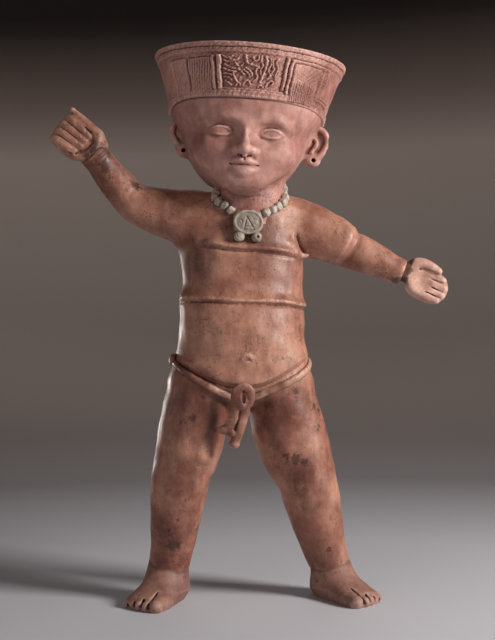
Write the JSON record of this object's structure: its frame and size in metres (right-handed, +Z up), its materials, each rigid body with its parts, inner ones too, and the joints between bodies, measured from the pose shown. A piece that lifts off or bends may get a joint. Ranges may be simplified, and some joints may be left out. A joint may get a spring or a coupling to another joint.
{
  "type": "standing figure",
  "caption": "Standing hollow clay figure with legs apart, a raised fist, an open hand, a necklace, a knotted belt and a flaring headdress; stands on its own feet.",
  "frame": {"origin": "centre of the bounding box on the ground, between the feet", "axes": "+Z up; the figure faces -Y; +X to the right of a viewer who faces it"},
  "size_m": [0.3424, 0.1182, 0.4752],
  "materials": {
    "fired_clay": "satin"
  },
  "bodies": {
    "root": {"figure": "fired_clay"}
  },
  "joints": []
}
